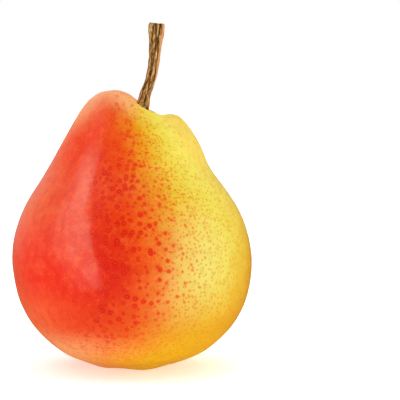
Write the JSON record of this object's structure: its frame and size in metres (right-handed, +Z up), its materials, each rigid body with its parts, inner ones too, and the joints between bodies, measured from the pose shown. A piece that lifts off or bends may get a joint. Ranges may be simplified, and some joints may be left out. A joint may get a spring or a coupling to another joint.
{
  "type": "pear",
  "caption": "Whole ripe pear with a wide round belly, a tapered neck leaning to one side, a woody stem and a dried calyx, standing on its base.",
  "frame": {"origin": "on the table, under the middle of the belly", "axes": "+Z up through the fruit, +X towards the low side of the crown, -Y to the front"},
  "size_m": [0.0658, 0.066, 0.0941],
  "materials": {
    "skin": "satin",
    "stem_bark": "matte",
    "dried_calyx": "matte"
  },
  "bodies": {
    "root": {"fruit": "skin", "stem": "stem_bark", "sepal_1": "dried_calyx", "sepal_2": "dried_calyx", "sepal_3": "dried_calyx", "sepal_4": "dried_calyx", "sepal_5": "dried_calyx", "stamen_tuft": "dried_calyx"}
  },
  "joints": []
}
